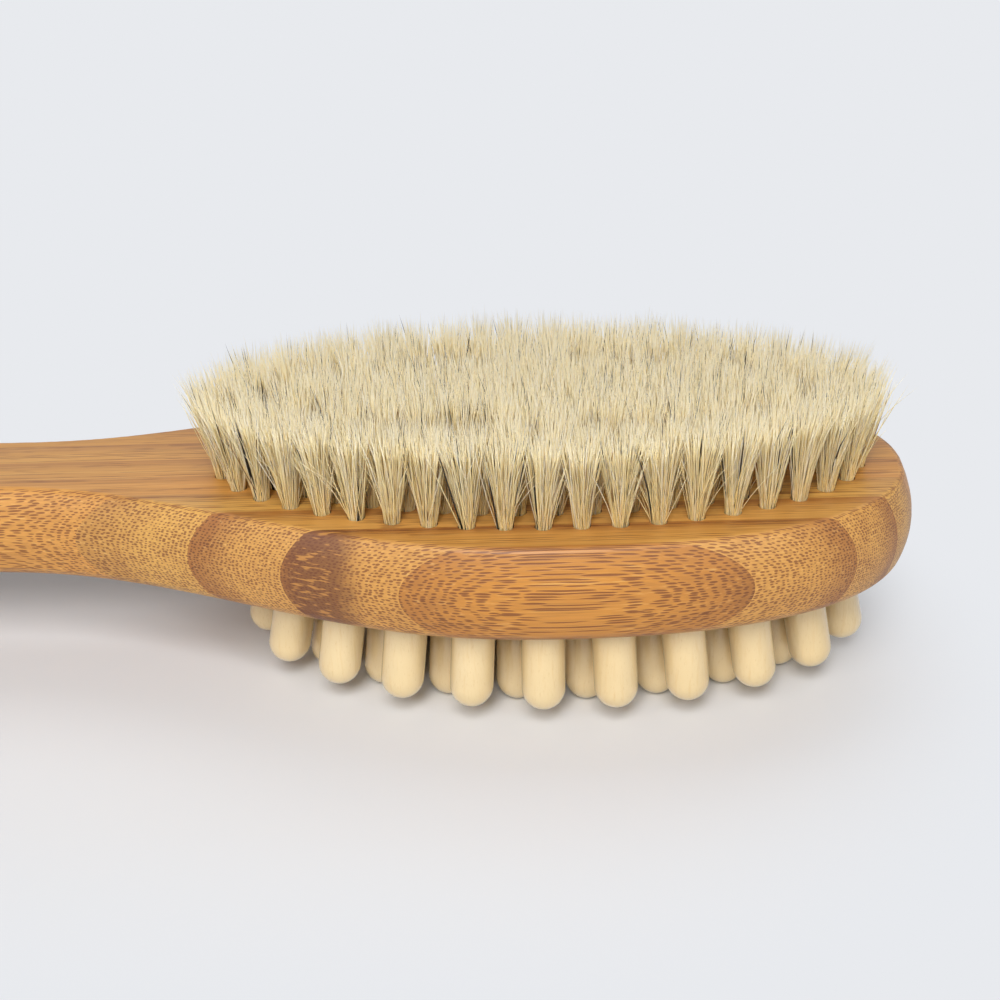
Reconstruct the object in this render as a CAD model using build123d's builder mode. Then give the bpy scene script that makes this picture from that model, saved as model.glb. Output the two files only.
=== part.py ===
from build123d import *
import os
from math import atan2, cos, degrees, hypot, pi, radians, sin, sqrt

# Double-sided body brush with a long handle. A board glued up from upright bamboo strips
# carries bristle tufts on its top face and wooden massage pegs on its underside.
# X runs along the brush with the head at +X, Y runs across it, and Z points up through
# the bristles. The origin is the middle of the length and of the width, level with the
# tips of the lowest pegs.

os.makedirs("parts", exist_ok=True)

# Outline of the board, measured round the waist of its rounded side
total_length = 380.0
head_width = 74.0
nose_length = 70.4  # widest section of the head to its tip
nose_fullness = 2.27  # 2 is an ellipse, more is squarer
neck_length = 96.0  # widest section of the head to the start of the handle
handle_width = 25.2
board_thickness = 18.0
side_bulge = 2.3  # how far the waist stands out past the top and bottom edges
top_edge_radius = 0.8
bottom_edge_radius = 2.4
hang_hole_diameter = 7.0
hang_hole_from_end = 15.0

# Bamboo strips, laid side by side and glued on their wide faces
strip_thickness = 7.5
strip_skew = 2.2  # degrees that the grain runs off the brush's own axis
strip_offset = 3.65  # head's centre to the next glue line on its +Y side
feather_edge = 0.4  # strips that run out at the handle's side end at this thickness

# Bristle tufts, in rings inside the edge of the top face
tuft_margin = 7.7  # edge of the top face to the outer ring
tuft_field_back = 54.8  # head's widest section to the rearmost tuft
tuft_ring_step = 5.4
tuft_pitch = 6.4
tuft_tip_gap = 1.1  # least room between the ends of two tufts
tuft_hole_diameter = 3.0
tuft_hole_depth = 8.0
tuft_clearance = 0.15
bristle_height = 19.5

# Flat steel anchors that hold the folded tufts down in their holes
anchor_height = 2.0
anchor_thickness = 0.35
anchor_end_gap = 0.05
anchor_to_tuft = 0.1

# Massage pegs, in rings on the underside, all pointing away from one far centre
peg_diameter = 7.6
peg_clearance = 0.05
peg_seat_depth = 6.5
peg_drop = 20.4  # underside of the board to the lowest tips
peg_fan_radius = 235.0
peg_side_margin = 8.2  # edge of the underside to the outer ring, at the sides
peg_nose_margin = 10.9  # the same at the nose
peg_field_back = 45.8  # head's widest section to the rearmost peg
peg_gap_along = 4.3  # room between neighbours in a ring
peg_gap_across = 1.1  # room between one ring and the next
outer_tip_rise = 3.6  # how far the outer pegs stop short of the lowest tips

# Places that follow from the sizes above
board_bottom = peg_drop
board_waist = board_bottom + board_thickness / 2
board_top = board_bottom + board_thickness
head_x = total_length / 2 - nose_length
handle_round_x = handle_width / 2 - total_length / 2
hang_hole_x = hang_hole_from_end - total_length / 2
handle_length = total_length - nose_length - neck_length - handle_width / 2
handle_middle_x = handle_round_x + handle_length / 2
nose_x = head_x + nose_length - side_bulge
tuft_tip_radius = (tuft_ring_step - tuft_tip_gap) / 2
peg_pitch = peg_diameter + peg_gap_along
peg_ring_step = peg_diameter + peg_gap_across


def half_outline(inset):
    """Points along the +Y edge of the board, from the tip of the nose to the butt."""
    half_head = head_width / 2 - inset
    half_handle = handle_width / 2 - inset
    handle_x = head_x - neck_length
    points = []
    for step in range(9):
        turn = radians(10 * step)
        ahead = (nose_length - inset) * cos(turn) ** (2 / nose_fullness)
        points.append((head_x + ahead, half_head * sin(turn) ** (2 / nose_fullness)))
    for step in range(9):
        share = step / 8
        swell = (1 + cos(pi * share)) / 2
        across = half_handle + (half_head - half_handle) * swell
        points.append((head_x - neck_length * share, across))
    for step in range(1, 9):
        points.append((handle_x + (handle_round_x - handle_x) * step / 8, half_handle))
    for step in range(1, 5):
        turn = radians(22.5 * step)
        points.append((handle_round_x - half_handle * sin(turn), half_handle * cos(turn)))
    return points


def board_section(inset):
    """The board's outline drawn in by the inset, as one smooth closed curve."""
    far_side = half_outline(inset)
    near_side = [(x, -y) for x, y in reversed(far_side[1:-1])]
    Spline(*far_side, *near_side, periodic=True)


def inset_at(level):
    """How far the outline is drawn in at a height above the board's underside."""
    inset = side_bulge * (2 * level / board_thickness - 1) ** 2
    for radius, depth in ((bottom_edge_radius, level), (top_edge_radius, board_thickness - level)):
        if depth < radius:
            inset += radius - sqrt(radius**2 - (radius - depth) ** 2)
    return inset


def handle_exit(glue_line, side):
    """X where a glue line comes within a feather edge of the handle's +Y or -Y side."""
    half_handle = (handle_width / 2 - feather_edge) * cos(radians(strip_skew))
    return head_x - (glue_line - side * half_handle) / sin(radians(strip_skew))


def ring_places(ring, pitch, start):
    """Places spaced evenly by arc length round an ellipse, each with its turn about Z."""
    count = round(ring.length / pitch)
    places = []
    for index in range(count):
        spot = ring.position_at((index + start) / count)
        along = ring.tangent_at((index + start) / count)
        places.append(((spot.X, spot.Y), degrees(atan2(along.Y, along.X))))
    return places


def row_places(centre_x, pitch, count):
    """Places spaced evenly along the head's own axis."""
    first_x = centre_x - (count - 1) * pitch / 2
    return [((first_x + pitch * index, 0.0), 0.0) for index in range(count)]


def oval(front_x, back_x, half_width):
    """An ellipse that spans the head from one X to another."""
    middle = Plane(origin=((front_x + back_x) / 2, 0, 0))
    return Edge.make_ellipse((front_x - back_x) / 2, half_width, middle)


def tuft_layout():
    """Tuft places by name: two rings inside the edge, then a field of staggered rows."""
    front_x = nose_x - tuft_margin
    back_x = head_x - tuft_field_back
    half_width = head_width / 2 - side_bulge - tuft_margin
    layout = {}
    for name, start in (("outer_ring", 0.45), ("second_ring", 0.0)):
        layout[name] = ring_places(oval(front_x, back_x, half_width), tuft_pitch, start)
        front_x -= tuft_ring_step
        back_x += tuft_ring_step
        half_width -= tuft_ring_step
    centre_x = (front_x + back_x) / 2
    half_length = (front_x - back_x) / 2
    columns = int(half_length / tuft_pitch) + 1
    rows = int(half_width / tuft_ring_step)
    layout["field"] = []
    for row in range(-rows, rows + 1):
        for column in range(-columns, columns + 1):
            x = (column + 0.5 * (row % 2)) * tuft_pitch
            y = row * tuft_ring_step
            if hypot(x / half_length, y / (half_width + tuft_clearance)) <= 1:
                layout["field"].append(((centre_x + x, y), 0.0))
    return layout


def peg_layout():
    """Peg places and tip rise by name: rings from the outside in, then a row between."""
    front_x = nose_x - peg_nose_margin
    back_x = head_x - peg_field_back
    half_width = head_width / 2 - side_bulge - peg_side_margin
    layout = {}
    for name, start, tip_rise in (("outer", 0.6, outer_tip_rise), ("middle", 0.2, 0.0), ("inner", 0.6, 0.0)):
        layout[name] = (ring_places(oval(front_x, back_x, half_width), peg_pitch, start), tip_rise)
        front_x -= peg_ring_step
        back_x += peg_ring_step
        half_width -= peg_ring_step
    # the row keeps a whole pitch from the ends of the innermost ring
    room = front_x - back_x + 2 * peg_ring_step - 3 * peg_pitch
    count = int(room / peg_pitch) + 1
    layout["centre"] = (row_places((front_x + back_x) / 2, peg_pitch, count), 0.0)
    return layout


def peg_locations(places):
    """Where each peg's axis leaves the underside, with -Z turned away from the far centre."""
    centre_x = (nose_x - peg_nose_margin + head_x - peg_field_back) / 2
    locations = []
    for (x, y), _ in places:
        lean_along = degrees((x - centre_x) / peg_fan_radius)
        lean_across = degrees(y / peg_fan_radius)
        locations.append(Location((x, y, board_bottom), (lean_across, -lean_along, 0)))
    return locations


tufts = tuft_layout()
pegs = peg_layout()
tuft_spots = [spot for places in tufts.values() for spot, _ in places]
peg_seats = [seat for places, _ in pegs.values() for seat in peg_locations(places)]

# The whole board, before it is told apart into its strips: outlines lofted up its rounded
# side, blind holes for tufts and pegs, and the hole to hang it by
lower_edge = [share * bottom_edge_radius for share in (0, 0.12, 0.4, 1)]
side = [bottom_edge_radius, board_thickness / 2, board_thickness - top_edge_radius]
upper_edge = [board_thickness - share * top_edge_radius for share in (1, 0.4, 0.12, 0)]
with BuildPart() as board:
    for levels in (lower_edge, side, upper_edge):
        for level in levels:
            with BuildSketch(Plane.XY.offset(board_bottom + level)):
                with BuildLine():
                    board_section(inset_at(level))
                make_face()
        loft()
    with BuildSketch(Plane.XY.offset(board_top)):
        with Locations(*tuft_spots):
            Circle(tuft_hole_diameter / 2)
    extrude(amount=-tuft_hole_depth, mode=Mode.SUBTRACT)
    with Locations(*peg_seats):
        Cylinder(
            peg_diameter / 2 + peg_clearance,
            2 * peg_seat_depth,
            mode=Mode.SUBTRACT,
        )
    with BuildSketch(Plane.XY.offset(board_top)):
        with Locations((hang_hole_x, 0)):
            Circle(hang_hole_diameter / 2)
    extrude(amount=-board_thickness, mode=Mode.SUBTRACT)

# Bamboo strips, numbered from the -Y edge. A strip that the neck cuts in two leaves a
# second piece along the handle. Where a glue line runs out at the handle's side, the
# thin tail is trimmed off square.
strips_below = int((head_width / 2 + strip_offset) // strip_thickness) + 1
strips_above = int((head_width / 2 - strip_offset) // strip_thickness) + 1
panel = Plane(origin=(head_x, 0, board_waist), z_dir=(0, 0, 1)).rotated((0, 0, strip_skew))
for number in range(1, strips_below + strips_above + 1):
    inner_edge = strip_offset + (number - strips_below - 1) * strip_thickness
    outer_edge = inner_edge + strip_thickness
    tails = []
    for glue_line, side in ((outer_edge, -1), (inner_edge, 1)):
        exit_x = handle_exit(glue_line, side)
        if abs(exit_x - handle_middle_x) < handle_length / 2:
            tails.append((exit_x + side * handle_width / 2, side * handle_width / 2))
    with BuildPart() as strip:
        add(board.part)
        with Locations(panel * Location((0, (inner_edge + outer_edge) / 2, 0))):
            Box(2 * total_length, strip_thickness, 2 * board_thickness, mode=Mode.INTERSECT)
        if tails:
            with BuildSketch(Plane.XY.offset(board_bottom)):
                with Locations(*tails):
                    Rectangle(handle_width, handle_width)
            extrude(amount=board_thickness, mode=Mode.SUBTRACT)
    head_first = strip.solids().sort_by(Axis.X, reverse=True)
    for name, solid in zip((f"bamboo_strip_{number}", f"bamboo_strip_{number}_handle"), head_first):
        solid.label = name
        export_step(solid, f"parts/{name}.step")

# Bristle tufts: each stands on its anchor, fills its hole and fans out above the board
for name, places in tufts.items():
    spots = [spot for spot, _ in places]
    root_radius = tuft_hole_diameter / 2 - tuft_clearance
    root_depth = tuft_hole_depth - anchor_height - anchor_to_tuft
    fan = degrees(atan2(tuft_tip_radius - root_radius, bristle_height))
    with BuildPart() as tuft_group:
        with BuildSketch(Plane.XY.offset(board_top - root_depth)):
            with Locations(*spots):
                Circle(root_radius)
        extrude(amount=root_depth)
        with BuildSketch(Plane.XY.offset(board_top)):
            with Locations(*spots):
                Circle(root_radius)
        extrude(amount=bristle_height, taper=-fan)
    tuft_group.part.label = f"bristle_tufts_{name}"
    export_step(tuft_group.part, f"parts/bristle_tufts_{name}.step")

    # Anchors: flat steel set on edge across the bottom of each hole
    with BuildPart() as anchors:
        with BuildSketch(Plane.XY.offset(board_top - tuft_hole_depth)):
            for spot, turn in places:
                with Locations(Location(spot, turn)):
                    Rectangle(tuft_hole_diameter - 2 * anchor_end_gap, anchor_thickness)
        extrude(amount=anchor_height)
    anchors.part.label = f"tuft_anchors_{name}"
    export_step(anchors.part, f"parts/tuft_anchors_{name}.step")

# Massage pegs: turned dowels with a round end, glued into their blind holes
for name, (places, tip_rise) in pegs.items():
    stick_out = peg_drop - tip_rise
    with BuildPart() as peg:
        with Locations((0, 0, peg_seat_depth)):
            Cylinder(
                peg_diameter / 2,
                peg_seat_depth + stick_out - peg_diameter / 2,
                align=(Align.CENTER, Align.CENTER, Align.MAX),
            )
        with Locations((0, 0, peg_diameter / 2 - stick_out)):
            Sphere(peg_diameter / 2)
    with BuildPart() as peg_group:
        with Locations(*peg_locations(places)):
            add(peg.part)
    peg_group.part.label = f"massage_pegs_{name}"
    export_step(peg_group.part, f"parts/massage_pegs_{name}.step")
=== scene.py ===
import math

import bmesh
import bpy
import numpy as np
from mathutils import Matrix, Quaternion, Vector


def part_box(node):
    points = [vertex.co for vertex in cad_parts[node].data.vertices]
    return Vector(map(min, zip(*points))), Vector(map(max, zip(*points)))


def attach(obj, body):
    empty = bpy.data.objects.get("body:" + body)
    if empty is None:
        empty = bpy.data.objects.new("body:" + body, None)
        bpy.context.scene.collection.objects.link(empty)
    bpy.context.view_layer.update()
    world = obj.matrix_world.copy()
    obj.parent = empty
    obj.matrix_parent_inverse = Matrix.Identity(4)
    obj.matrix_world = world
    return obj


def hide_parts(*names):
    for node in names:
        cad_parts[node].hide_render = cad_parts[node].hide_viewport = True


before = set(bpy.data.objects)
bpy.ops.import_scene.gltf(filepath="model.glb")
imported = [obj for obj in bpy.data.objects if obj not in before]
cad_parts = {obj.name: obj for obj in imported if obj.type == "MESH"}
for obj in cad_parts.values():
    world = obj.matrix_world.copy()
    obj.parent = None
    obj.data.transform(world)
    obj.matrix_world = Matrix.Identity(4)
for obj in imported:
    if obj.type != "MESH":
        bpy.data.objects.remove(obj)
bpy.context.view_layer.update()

# ---- Camera -------------------------------------------------------------------------
# The brush lies on its pegs with the handle running off to the left. The camera looks
# down on the head from the near side, a forearm's length away.
head_middle = Vector((0.1158, -0.0035, 0.0319))
camera_distance = 0.2684
camera_turn = math.radians(2.71)
camera_height = math.radians(26)
camera_tilt = math.radians(-1.63)
backward = Vector((
    math.sin(camera_turn) * math.cos(camera_height),
    -math.cos(camera_turn) * math.cos(camera_height),
    math.sin(camera_height),
))
level_look = (-backward).to_track_quat("-Z", "Y")
camera = bpy.data.objects.new("camera", bpy.data.cameras.new("camera"))
bpy.context.scene.collection.objects.link(camera)
camera.rotation_mode = "QUATERNION"
camera.location = head_middle + backward * camera_distance
camera.rotation_quaternion = level_look @ Quaternion((0, 0, 1), camera_tilt)
camera.data.lens = 53.14
camera.data.sensor_width = 36
camera.data.clip_start = 0.01
bpy.context.scene.camera = camera

# ---- Floor and light ----------------------------------------------------------------
# A pale matt table top that fades into an even pale blue-grey further out, under soft
# boxes: two in front, a narrow one to each side, and a broad weak one overhead.
table_colour = (0.80, 0.81, 0.83)
table_half = 6.0
surround_colour = (0.807, 0.823, 0.855)
fill_colour = (0.95, 0.97, 1.0)
fill_strength = 0.11
fade_starts = 0.05
fade_ends = 0.10
handle_fade_start = -0.15


class Signal:
    """One socket of a material. Sums written with it add Math nodes to the material."""

    def __init__(self, tree, socket=None):
        self.tree = tree
        self.socket = socket

    def node(self, kind, settings=None, inputs=None, output=0):
        """Adds a node, sets it up, fills its sockets and returns one of its outputs."""
        made = self.tree.nodes.new("ShaderNode" + kind)
        for name, value in (settings or {}).items():
            setattr(made, name, value)
        for name, value in (inputs or {}).items():
            if isinstance(value, Signal):
                self.tree.links.new(value.socket, made.inputs[name])
            else:
                made.inputs[name].default_value = value
        return Signal(self.tree, made.outputs[output]) if made.outputs else self

    def sum(self, operation, *values):
        return self.node("Math", {"operation": operation}, dict(enumerate(values)))

    def __add__(self, other):
        return self.sum("ADD", self, other)

    def __radd__(self, other):
        return self.sum("ADD", other, self)

    def __sub__(self, other):
        return self.sum("SUBTRACT", self, other)

    def __rsub__(self, other):
        return self.sum("SUBTRACT", other, self)

    def __mul__(self, other):
        return self.sum("MULTIPLY", self, other)

    def __rmul__(self, other):
        return self.sum("MULTIPLY", other, self)

    def __truediv__(self, other):
        return self.sum("DIVIDE", self, other)

    def __pow__(self, other):
        return self.sum("POWER", self, other)

    def __abs__(self):
        return self.sum("ABSOLUTE", self)

    def rise(self, low, high):
        """0 below low, 1 above high, and smooth between. It falls if high < low."""
        if high < low:
            return 1 - self.rise(high, low)
        limits = {"Value": self, "From Min": low, "From Max": high}
        return self.node("MapRange", {"interpolation_type": "SMOOTHSTEP"}, limits)

    def mix(self, none, full, blend="MIX"):
        """The first colour where this is 0 and the second where it is 1."""
        none, full = [(*c, 1) if isinstance(c, tuple) else c for c in (none, full)]
        inputs = {0: self, 6: none, 7: full}
        return self.node("Mix", {"data_type": "RGBA", "blend_type": blend}, inputs, 2)


def new_material(name):
    """An empty material, and a signal that adds nodes to it."""
    material = bpy.data.materials.new(name)
    material.use_nodes = True
    material.node_tree.nodes.clear()
    return material, Signal(material.node_tree)


def surface(signal, shader):
    """Makes a shader the material's surface."""
    signal.node("OutputMaterial", {}, {"Surface": shader})


def place_axes(signal):
    """Object coordinates, as three signals in metres."""
    point = signal.node("TexCoord", {}, {}, "Object")
    return [signal.node("SeparateXYZ", {}, {0: point}, axis) for axis in "XYZ"]


def seen_directly(signal):
    """1 for rays from the camera and rays in gloss or glass, 0 for light on the brush."""
    kinds = ("Is Camera Ray", "Is Glossy Ray", "Is Transmission Ray")
    camera_ray, glossy_ray, glass_ray = [
        signal.node("LightPath", {}, {}, kind) for kind in kinds
    ]
    return signal.sum("MAXIMUM", signal.sum("MAXIMUM", camera_ray, glossy_ray), glass_ray)


def new_piece(name, mesh):
    """An object with this mesh, in the scene."""
    piece = bpy.data.objects.new(name, mesh)
    bpy.context.scene.collection.objects.link(piece)
    return piece


# the fade is measured from the head and from the handle's far end
table_material, table = new_material("table")
x, y, z = place_axes(table)
beyond_ends = table.sum("MAXIMUM", x - head_middle.x, handle_fade_start - x)
beyond_ends = table.sum("MAXIMUM", beyond_ends, 0.0)
from_brush = (beyond_ends ** 2 + (y - head_middle.y) ** 2) ** 0.5
cloth = table.node("BsdfDiffuse", {}, {"Color": (*table_colour, 1)})
glow = table.node("Emission", {}, {"Color": (*surround_colour, 1), "Strength": 1.0})
far_out = from_brush.rise(fade_starts, fade_ends) * seen_directly(table)
surface(table, table.node("MixShader", {}, {0: far_out, 1: cloth, 2: glow}))

table_mesh = bpy.data.meshes.new("table")
corners = [
    (-table_half, -table_half, 0),
    (table_half, -table_half, 0),
    (table_half, table_half, 0),
    (-table_half, table_half, 0),
]
table_mesh.from_pydata(corners, [], [(0, 1, 2, 3)])
table_top = new_piece("table", table_mesh)
table_top.data.materials.append(table_material)

world = bpy.data.worlds.new("studio")
world.use_nodes = True
world.node_tree.nodes.clear()
air = Signal(world.node_tree)
backdrop = air.node("Background", {}, {"Color": (*surround_colour, 1), "Strength": 1.0})
fill = air.node("Background", {}, {"Color": (*fill_colour, 1), "Strength": fill_strength})
around = air.node("MixShader", {}, {0: seen_directly(air), 1: fill, 2: backdrop})
air.node("OutputWorld", {}, {"Surface": around})
bpy.context.scene.world = world

# each soft box: its place, its width and height, and its power in watts
soft_boxes = {
    "over_camera": ((0.02, -0.78, 0.62), (0.24, 0.20), 3.1),
    "upper_front": ((0.10, -0.58, 0.74), (0.36, 0.24), 3.5),
    "left_strip": ((-0.38, -0.52, 0.34), (0.06, 0.50), 1.0),
    "right_strip": ((0.56, -0.52, 0.34), (0.06, 0.50), 1.0),
    "overhead": ((0.10, 0.30, 0.80), (0.70, 0.50), 1.5),
}
for name, (place, (width, height), power) in soft_boxes.items():
    lamp = bpy.data.lights.new(name, "AREA")
    lamp.shape = "RECTANGLE"
    lamp.size = width
    lamp.size_y = height
    lamp.energy = power
    box = new_piece(name, lamp)
    box.location = place
    box.rotation_euler = (head_middle - Vector(place)).to_track_quat("-Z", "Y").to_euler()

bpy.context.scene.view_settings.view_transform = "Standard"

# ---- Bamboo board -------------------------------------------------------------------
# Upright strips of split bamboo culm, glued face to face and routed to shape. Each strip
# is darkest on the face that was the outside of the culm, and its vascular bundles show
# as dots where the cut crosses them and as streaks where it runs along them.
strip_thickness = 0.0075
middle_strip = 7
middle_strip_near_face = 0.00365
grain_turn = math.radians(2.2)
grain_middle_x = 0.1196
bundle_width = 0.00032
bundle_height = 0.00050
bundle_scatter = 0.5
bundle_wander_across = 0.9
bundle_wander_up = 0.7
bundle_shift_per_strip = 7.3
least_bundle, bundle_range, bundle_sway = 0.20, 0.14, 0.30
bundle_edge_out, bundle_edge_in = 0.10, -0.06
bundle_cover = 0.86
dark_side_starts, dark_side_ends = 0.38, 1.02
pale_bamboo = (0.655, 0.352, 0.092)
dark_bamboo = (0.34, 0.120, 0.022)
dark_fibre = (0.38, 0.165, 0.034)
pale_fibre = (0.82, 0.52, 0.17)
bundle_in_pale = (0.21, 0.062, 0.011)
bundle_in_dark = (0.12, 0.032, 0.006)
culm_node_colour = (0.14, 0.040, 0.010)
culm_node_streak = (0.56, 0.25, 0.05)
grain_depth = 0.00012
board_lacquer, board_lacquer_roughness = 0.20, 0.32


def noise(signal, places, sizes, detail, roughness=0.5, output=0):
    """Noise from three signals, with blotches of these sizes in metres along each."""
    steps = {axis: place / size for axis, (place, size) in enumerate(zip(places, sizes))}
    return signal.node("TexNoise", {}, {
        "Vector": signal.node("CombineXYZ", {}, steps),
        "Scale": 1.0,
        "Detail": detail,
        "Roughness": roughness,
    }, output)


def bamboo(name, number, tone, ripeness, culm_nodes):
    """Bamboo for one strip. A culm node is (x, half width, strength, pale streaks)."""
    material, strip = new_material(name)
    x, y, z = place_axes(strip)
    cosine, sine = math.cos(grain_turn), math.sin(grain_turn)
    along = (x - grain_middle_x) * cosine + y * sine
    across = y * cosine - (x - grain_middle_x) * sine
    grain = (along, across, z)
    near_face = middle_strip_near_face + (number - middle_strip) * strip_thickness
    through = (across - near_face) / strip_thickness

    # the grain wanders a little, neighbouring bundles together
    wander = noise(strip, grain, (0.0065, 0.0018, 0.0018), 1.0, output="Color")
    sway_across, sway_up, sway_size = [
        strip.node("SeparateColor", {}, {0: wander}, part) - 0.5
        for part in ("Red", "Green", "Blue")
    ]
    cell = strip.node("CombineXYZ", {}, {
        0: across / bundle_width + sway_across * bundle_wander_across
        + number * bundle_shift_per_strip,
        1: z / bundle_height + sway_up * bundle_wander_up,
        2: 0.0,
    })
    from_bundle, bundle_kind = [
        strip.node(
            "TexVoronoi", {"voronoi_dimensions": "2D", "feature": "F1"},
            {"Vector": cell, "Scale": 1.0, "Randomness": bundle_scatter}, output,
        )
        for output in ("Distance", "Color")
    ]
    chance = strip.node("SeparateColor", {}, {0: bundle_kind}, "Red")
    bundle_size = chance * bundle_range + least_bundle + sway_size * bundle_sway
    dots = (from_bundle - bundle_size).rise(bundle_edge_out, bundle_edge_in)

    # streaks of early and late fibre, from broad bands to hair lines
    broad = noise(strip, grain, (0.09, 0.0021, 0.004), 2.0, 0.6)
    fine = noise(strip, grain, (0.022, 0.00042, 0.00042), 3.0, 0.65)

    skin = through.rise(dark_side_starts, dark_side_ends) ** 1.2
    skin = skin * ripeness + broad.rise(0.45, 0.72) * 0.22
    skin = strip.sum("MINIMUM", skin, 1.0)
    colour = skin.mix(tuple(c * t for c, t in zip(pale_bamboo, tone)), dark_bamboo)
    colour = (fine.rise(0.44, 0.66) * 0.42).mix(colour, dark_fibre)
    colour = (fine.rise(0.44, 0.26) * 0.40).mix(colour, pale_fibre)
    colour = (dots * bundle_cover).mix(colour, skin.mix(bundle_in_pale, bundle_in_dark))
    rough_patch = dots * 0.5
    for node_x, half_width, strength, streaks in culm_nodes:
        ragged = (fine - 0.5) * 0.006 + (broad - 0.5) * 0.004
        from_node = abs(along - (node_x - grain_middle_x) + ragged)
        band = from_node.rise(half_width, half_width * 0.35) * strength
        dash = noise(strip, grain, (0.008, 0.0010, 0.00042), 1.0)
        colour = (band * 0.85).mix(colour, culm_node_colour)
        colour = (band * dash.rise(0.56, 0.68) * streaks).mix(colour, culm_node_streak)
        rough_patch = rough_patch + band * 0.6

    height = fine * 0.5 - dots * 0.9 - rough_patch * 0.2
    relief = {"Strength": 0.35, "Distance": grain_depth, "Height": height}
    surface(strip, strip.node("BsdfPrincipled", {}, {
        "Base Color": colour,
        "Roughness": 0.44 + fine * 0.10 + rough_patch * 0.08,
        "Normal": strip.node("Bump", {}, relief),
        "Coat Weight": board_lacquer,
        "Coat Roughness": board_lacquer_roughness,
        "Specular IOR Level": 0.5,
    }))
    return material


# each strip: number, tone of its pale side, how dark its outer face is, its culm nodes
strips = {
    "bamboo_strip_1": (1, (0.96, 0.75, 0.40), 0.55, [(0.1590, 0.0075, 0.40, 0.3)]),
    "bamboo_strip_2": (2, (0.96, 0.87, 0.70), 0.85, [(0.0850, 0.0085, 0.95, 0.8)]),
    "bamboo_strip_3": (3, (0.98, 0.92, 0.80), 0.90, [(0.0970, 0.0022, 0.60, 0.5)]),
    "bamboo_strip_4": (4, (1.02, 1.02, 0.88), 0.45, []),
    "bamboo_strip_5": (5, (0.98, 0.84, 0.64), 0.40, []),
    "bamboo_strip_6": (6, (0.96, 0.86, 0.70), 0.60, [(-0.0900, 0.0050, 0.55, 0.5)]),
    "bamboo_strip_7": (7, (0.97, 0.88, 0.74), 0.60, [(-0.0200, 0.0040, 0.40, 0.5)]),
    "bamboo_strip_8": (8, (0.94, 0.82, 0.64), 0.70, []),
    "bamboo_strip_9": (9, (0.94, 0.82, 0.64), 0.75, [(0.1500, 0.0045, 0.50, 0.5)]),
    "bamboo_strip_9_handle": (9, (0.96, 0.85, 0.68), 0.70, []),
    "bamboo_strip_10": (10, (0.96, 0.88, 0.76), 0.65, [(0.1050, 0.0060, 0.60, 0.6)]),
    "bamboo_strip_11": (11, (0.98, 0.86, 0.68), 0.60, []),
}


def finish_node(node, material):
    """Gives every face of a CAD node this material."""
    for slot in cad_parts[node].material_slots:
        slot.material = material


for name, strip_values in strips.items():
    finish_node(name, bamboo(name, *strip_values))

# ---- Bristle tufts ------------------------------------------------------------------
# Bunches of cream boar bristle, folded over a steel anchor at the bottom of each drilled
# hole and trimmed level. They fan out above the board, and the outer tufts lean outwards.
board_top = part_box("bamboo_strip_6")[1].z
tuft_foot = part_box("bristle_tufts_outer_ring")[0].z
trimmed_top = board_top + 0.0180
hole_fill = 0.00134
lean_unevenness = 0.00055
tip_unevenness = 0.00120
trim_unevenness = 0.0008
short_share, short_by = 0.08, 0.003
long_share, long_by = 0.05, 0.0010
stray_share, stray_reach, stray_drop = 0.06, 0.0024, 0.006
least_bow, most_bow = 0.15, 0.75
curl_reach = 0.00034
thinnest, thickest = 0.000080, 0.000115
black_thicker = 1.8
taper = 0.35
strand_sides = 3
strand_levels = (0.0, 0.36, 0.70)
cream = np.array((0.99, 0.86, 0.50))
straw = np.array((0.97, 0.73, 0.31))
white = np.array((0.99, 0.92, 0.73))
brown = (0.22, 0.12, 0.05)
black = (0.018, 0.015, 0.013)
brown_share = 0.040
black_share = 0.018
# root colour: partly the bristles' own yellower roots, partly painted shade and painted
# warm light through the tuft near the board
root_tint_and_painted_shade = np.array((1.0, 0.88, 0.66))
dice = np.random.default_rng(41)

# how far up its length each ring of a strand is, for the colour map and for the tint and
# painted shade
map_heights = (0.04, 0.30, 0.55, 0.78)
map_tip_height = 0.96
map_margin = 0.1
tint_and_shade_heights = (0.0, 0.0, 0.4, 0.75)


def tuft_roots(node):
    """Where each tuft of a CAD node stands: the middles of its separate solids."""
    shape = bmesh.new()
    shape.from_mesh(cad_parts[node].data)
    bmesh.ops.remove_doubles(shape, verts=shape.verts, dist=1e-6)
    seen_verts = set()
    roots = []
    for start in shape.verts:
        if start in seen_verts:
            continue
        seen_verts.add(start)
        island = [start]
        for vert in island:
            for edge in vert.link_edges:
                other = edge.other_vert(vert)
                if other not in seen_verts:
                    seen_verts.add(other)
                    island.append(other)
        low = [min(v.co[axis] for v in island) for axis in (0, 1)]
        high = [max(v.co[axis] for v in island) for axis in (0, 1)]
        roots.append(((low[0] + high[0]) / 2, (low[1] + high[1]) / 2))
    shape.free()
    return np.array(sorted(roots, key=lambda root: (round(root[0], 5), round(root[1], 5))))


def strand_colours(count):
    """A colour for each strand, and which are black: cream to straw, a few darker."""
    share = dice.beta(1.6, 2.6, count)[:, None]
    pale = dice.random(count)[:, None] ** 3
    colours = cream * (1 - share) + straw * share
    colours = colours * (1 - pale) + white * pale
    kind = dice.random(count)
    colours[kind < brown_share] = brown
    is_black = kind < black_share
    colours[is_black] = black
    return colours, is_black


def strand_faces():
    """The faces of one strand: a foot, then rings of sides, then a point."""
    ring_count = len(strand_levels) + 1
    faces = [tuple(reversed(range(strand_sides)))]
    for ring in range(ring_count - 1):
        for side in range(strand_sides):
            a = ring * strand_sides + side
            b = ring * strand_sides + (side + 1) % strand_sides
            faces.append((a, b, b + strand_sides, a + strand_sides))
    last = (ring_count - 1) * strand_sides
    tip = ring_count * strand_sides
    for side in range(strand_sides):
        faces.append((last + side, last + (side + 1) % strand_sides, tip))
    return faces


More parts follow.
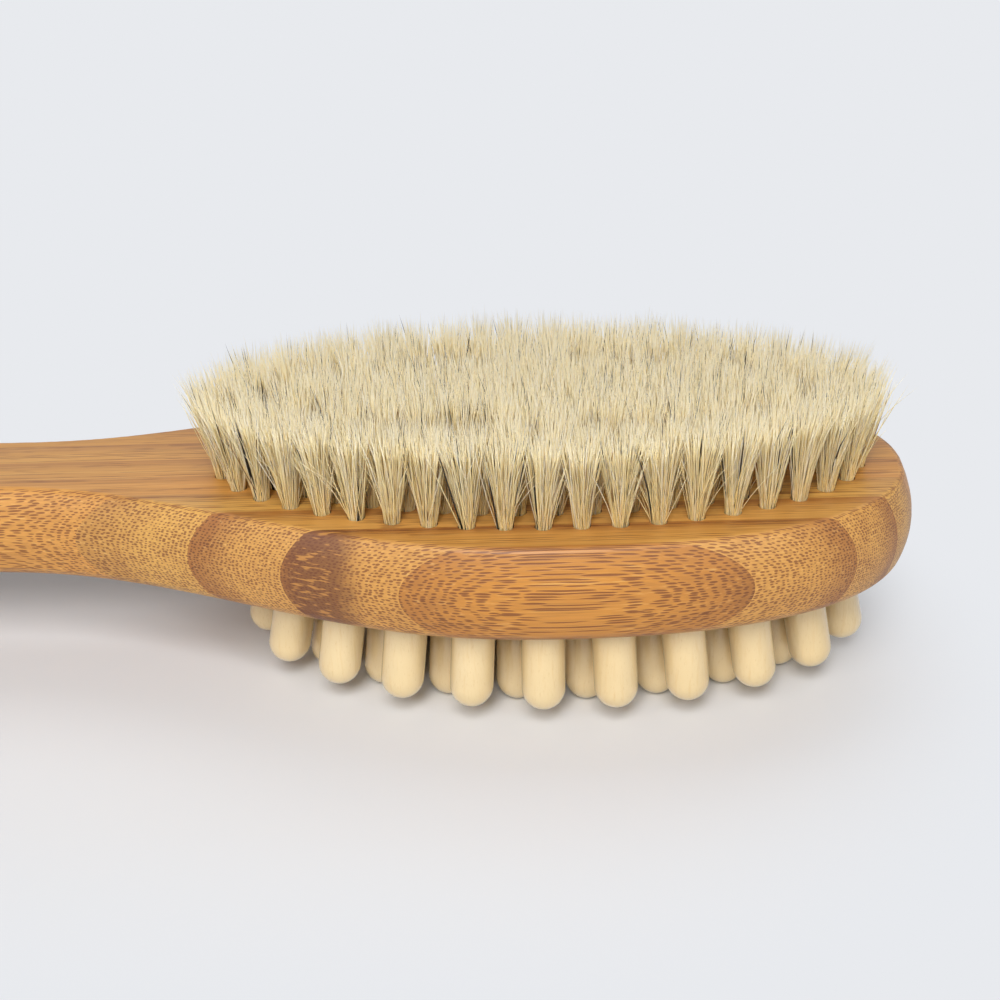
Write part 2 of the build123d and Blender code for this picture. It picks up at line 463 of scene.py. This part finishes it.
def tuft_strands(name, roots, per_tuft, spread, lean):
    """A mesh of bristle strands that stand in the tuft holes at these roots."""
    count = len(roots) * per_tuft
    root = np.repeat(roots, per_tuft, axis=0)
    turn = dice.random(count) * 2 * math.pi
    reach = np.sqrt(dice.random(count))
    outward = np.stack([np.cos(turn), np.sin(turn)], axis=1)
    foot = root + outward * (reach * hole_fill)[:, None]

    # each tuft leans away from the middle of the head, with a lean of its own
    middle = (roots.max(axis=0) + roots.min(axis=0)) / 2
    half = (roots.max(axis=0) - roots.min(axis=0)) / 2
    away = (roots - middle) / half**2
    away = away / np.maximum(np.linalg.norm(away, axis=1), 1e-9)[:, None]
    away = away * lean + dice.normal(0, lean_unevenness, roots.shape)
    tip = foot + outward * (reach * spread)[:, None] + np.repeat(away, per_tuft, axis=0)
    tip = tip + dice.normal(0, tip_unevenness, tip.shape)
    stray = dice.random(count) < stray_share
    tip = tip + stray[:, None] * dice.normal(0, stray_reach, tip.shape)

    # most tips end at the trim, a few below it and fewer above
    top = trimmed_top - np.abs(dice.normal(0, trim_unevenness, count))
    top = top - (dice.random(count) < short_share) * dice.random(count) * short_by
    top = top + (dice.random(count) < long_share) * dice.random(count) * long_by
    top = top - stray * dice.random(count) * stray_drop
    bow = dice.uniform(least_bow, most_bow, count)
    curl = dice.normal(0, curl_reach, tip.shape)
    colours, is_black = strand_colours(count)
    thickness = dice.uniform(thinnest, thickest, count)
    thickness = thickness * np.where(is_black, black_thicker, 1.0)

    rings = [(np.concatenate([foot, np.full((count, 1), tuft_foot)], axis=1), 1.0)]
    for level in strand_levels:
        share = (level * (1 - bow) + bow * level**2)[:, None]
        flat = foot + (tip - foot) * share + curl * math.sin(level * math.pi)
        height = board_top + (top - board_top) * level
        centre = np.concatenate([flat, height[:, None]], axis=1)
        rings.append((centre, 1.0 - taper * level))

    first_turn = dice.random(count) * 2 * math.pi
    vertices = []
    for centre, scale in rings:
        for side in range(strand_sides):
            angle = first_turn + side * 2 * math.pi / strand_sides
            rim = np.stack([np.cos(angle), np.sin(angle), np.zeros(count)], axis=1)
            vertices.append(centre + rim * (thickness * scale)[:, None])
    vertices.append(np.concatenate([tip, top[:, None]], axis=1))
    per_strand = len(vertices)
    vertices = np.stack(vertices, axis=1).reshape(-1, 3)

    faces = strand_faces()
    every_face = []
    for base in range(0, count * per_strand, per_strand):
        for face in faces:
            every_face.append([base + corner for corner in face])
    mesh = bpy.data.meshes.new(name)
    mesh.from_pydata(vertices.tolist(), [], every_face)
    mesh.polygons.foreach_set("use_smooth", [True] * len(mesh.polygons))

    # each strand has one small square of the colour map, its length up the square
    columns = math.ceil(math.sqrt(count))
    corner_place = []
    for face_number, face in enumerate(faces):
        for index, corner in enumerate(face):
            side = face_number % strand_sides + (index in (1, 2)) * 0.9
            is_tip = corner == per_strand - 1
            up = map_tip_height if is_tip else map_heights[corner // strand_sides]
            corner_place.append(((side + 0.05) / strand_sides, up))
    corner_place = np.array(corner_place)
    square = np.stack([np.arange(count) % columns, np.arange(count) // columns], axis=1)
    corner_place = map_margin + (1 - 2 * map_margin) * corner_place
    places = (square[:, None, :] + corner_place[None, :, :]) / columns
    colour_map = mesh.uv_layers.new(name="OFBake")
    colour_map.data.foreach_set("uv", places.astype(np.float32).ravel())

    # roots are yellower than tips, partly their own colour, and darker and warmer with
    # painted shade and painted light through the tuft near the board
    up = np.append(np.repeat(tint_and_shade_heights, strand_sides), 1.0)
    tint_and_shade = root_tint_and_painted_shade + (1 - root_tint_and_painted_shade) * up[:, None] ** 0.7
    shade = colours[:, None, :] * tint_and_shade[None, :, :]
    shade = np.concatenate([shade, np.ones((count, per_strand, 1))], axis=2)
    layer = mesh.color_attributes.new("bristle_colour", "FLOAT_COLOR", "POINT")
    layer.data.foreach_set("color", shade.astype(np.float32).ravel())
    return mesh


bristle_material, bristle = new_material("boar_bristle")
strand_colour = bristle.node("Attribute", {"attribute_name": "bristle_colour"}, {}, "Color")
flake = noise(bristle, place_axes(bristle), (0.0004, 0.0004, 0.0009), 2.0)
surface(bristle, bristle.node("BsdfPrincipled", {}, {
    "Base Color": (flake * 0.25).mix(strand_colour, (0.93, 0.90, 0.80), "MULTIPLY"),
    "Roughness": 0.34 + flake * 0.16,
    "Specular IOR Level": 0.45,
    "Subsurface Weight": 0.35,
    "Subsurface Radius": (0.9, 0.7, 0.4),
    "Subsurface Scale": 0.0008,
}))

# each group: strands in a tuft, how far they fan out, and how far the tufts lean out
tuft_groups = {
    "outer_ring": (170, 0.00235, 0.0018),
    "second_ring": (150, 0.00225, 0.0010),
    "field": (130, 0.00225, 0.0003),
}
for group, (per_tuft, spread, lean) in tuft_groups.items():
    node = "bristle_tufts_" + group
    strands = tuft_strands(node, tuft_roots(node), per_tuft, spread, lean)
    bristles = new_piece("bristles_" + group, strands)
    bristles.data.materials.append(bristle_material)
    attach(bristles, "root")
    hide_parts(node)

# ---- Tuft anchors -------------------------------------------------------------------
# Flat pieces of steel wire, driven edge-on across the bottom of each hole over the fold
# of the bristles. They bite into the bamboo on both sides.
dull_steel = (0.42, 0.41, 0.40)
bright_steel = (0.66, 0.65, 0.63)
steel_material, steel = new_material("anchor_steel")
draw_marks = noise(steel, place_axes(steel), (0.002, 0.002, 0.00008), 3.0)
draw_relief = {"Strength": 0.2, "Distance": 0.00002, "Height": draw_marks}
surface(steel, steel.node("BsdfPrincipled", {}, {
    "Base Color": draw_marks.mix(dull_steel, bright_steel),
    "Metallic": 1.0,
    "Roughness": 0.28 + draw_marks * 0.22,
    "Normal": steel.node("Bump", {}, draw_relief),
}))
for group in tuft_groups:
    finish_node("tuft_anchors_" + group, steel_material)

# ---- Massage pegs -------------------------------------------------------------------
# Round-ended dowels of pale close-grained wood, glued into the underside in rings and
# dipped in clear gloss lacquer. The outer ones are a little short and lean outwards.
peg_wood_dark = (0.76, 0.56, 0.27)
peg_wood_pale = (0.84, 0.67, 0.39)
peg_grain_colour = (0.73, 0.49, 0.21)
peg_pore_colour = (0.62, 0.40, 0.18)
peg_material, peg = new_material("peg_wood")
peg_axes = place_axes(peg)
blotch = noise(peg, peg_axes, (0.011, 0.011, 0.03), 1.0)
peg_grain = noise(peg, peg_axes, (0.0006, 0.0006, 0.011), 3.0, 0.6)
pore = noise(peg, peg_axes, (0.00022, 0.00022, 0.0011), 2.0)
peg_colour = blotch.mix(peg_wood_dark, peg_wood_pale)
peg_colour = (peg_grain.rise(0.50, 0.75) * 0.35).mix(peg_colour, peg_grain_colour)
peg_colour = (pore.rise(0.60, 0.75) * 0.30).mix(peg_colour, peg_pore_colour)
peg_height = peg_grain * 0.6 + pore * 0.6
peg_relief = {"Strength": 0.8, "Distance": 0.00012, "Height": peg_height}
surface(peg, peg.node("BsdfPrincipled", {}, {
    "Base Color": peg_colour,
    "Roughness": 0.34 + pore * 0.10,
    "Normal": peg.node("Bump", {}, peg_relief),
    "Coat Weight": 1.0,
    "Coat Roughness": 0.12,
}))
for ring in ("outer", "middle", "inner", "centre"):
    finish_node("massage_pegs_" + ring, peg_material)
